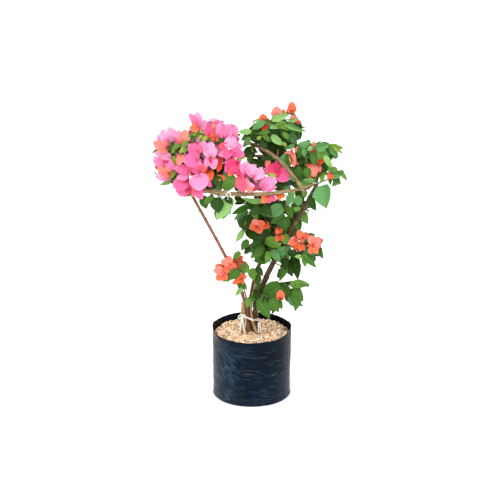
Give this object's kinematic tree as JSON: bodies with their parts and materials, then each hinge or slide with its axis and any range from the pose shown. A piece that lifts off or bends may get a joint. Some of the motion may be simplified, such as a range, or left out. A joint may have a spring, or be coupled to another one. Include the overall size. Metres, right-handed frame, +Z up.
{
  "type": "potted bougainvillea bush",
  "caption": "Bougainvillea bush in a black nursery bag, its canes bent into a level hoop over a narrow foot, with pink and coral bracts and green leaves.",
  "frame": {"origin": "middle of the bag's flat underside, on the surface that the bush stands on", "axes": "+Z up along the bush, -Y towards the front that the picture shows, +X to the right as seen from the front"},
  "size_m": [0.5482, 0.3416, 0.8591],
  "materials": {
    "bag_film": "gloss",
    "growing_mix": "matte",
    "bark": "matte",
    "dark_bark": "matte",
    "twine": "matte",
    "leaves": "satin",
    "pink_bracts": "matte",
    "coral_bracts": "matte"
  },
  "bodies": {
    "root": {"nursery_bag": "bag_film", "growing_mix": "growing_mix", "right_cane": "dark_bark", "middle_cane": "dark_bark", "left_cane": "bark", "cut_stub": "bark", "crossing_shoot": "bark", "hoop_front_left": "bark", "hoop_front_right": "bark", "hoop_left": "bark", "hoop_back": "bark", "arch_cane": "bark", "lower_left_shoot": "bark", "lower_right_shoot": "bark", "top_shoot": "bark", "blossom_shoot": "bark", "right_tip_shoot": "bark", "curled_shoot": "bark", "base_tie": "twine", "hoop_tie": "twine", "blossom_left": "pink_bracts", "blossom_middle": "pink_bracts", "blossom_right": "pink_bracts", "blossom_low": "pink_bracts", "blossom_fold": "pink_bracts", "blossom_trail": "pink_bracts", "blossom_back": "pink_bracts", "top_leaves": "leaves", "top_blossom": "coral_bracts", "heart_leaves": "leaves", "middle_blossom": "coral_bracts", "right_leaves": "leaves", "right_tip_leaves": "leaves", "right_hanging_leaves": "leaves", "under_hoop_right": "leaves", "under_hoop_middle": "leaves", "under_hoop_left": "leaves", "centre_leaves": "leaves", "centre_leaves_low": "leaves", "right_blossom": "coral_bracts", "middle_cane_leaves": "leaves", "right_cane_leaves": "leaves", "low_hanging_leaves": "leaves", "lower_left_blossom": "coral_bracts", "lower_middle_leaves": "leaves", "foot_leaves_front": "leaves", "foot_leaves_rear": "leaves", "lower_right_leaves": "leaves", "lower_right_tip_leaves": "leaves", "rear_leaves_top": "leaves", "rear_leaves_right": "leaves", "rear_leaves_low": "leaves"}
  },
  "joints": []
}
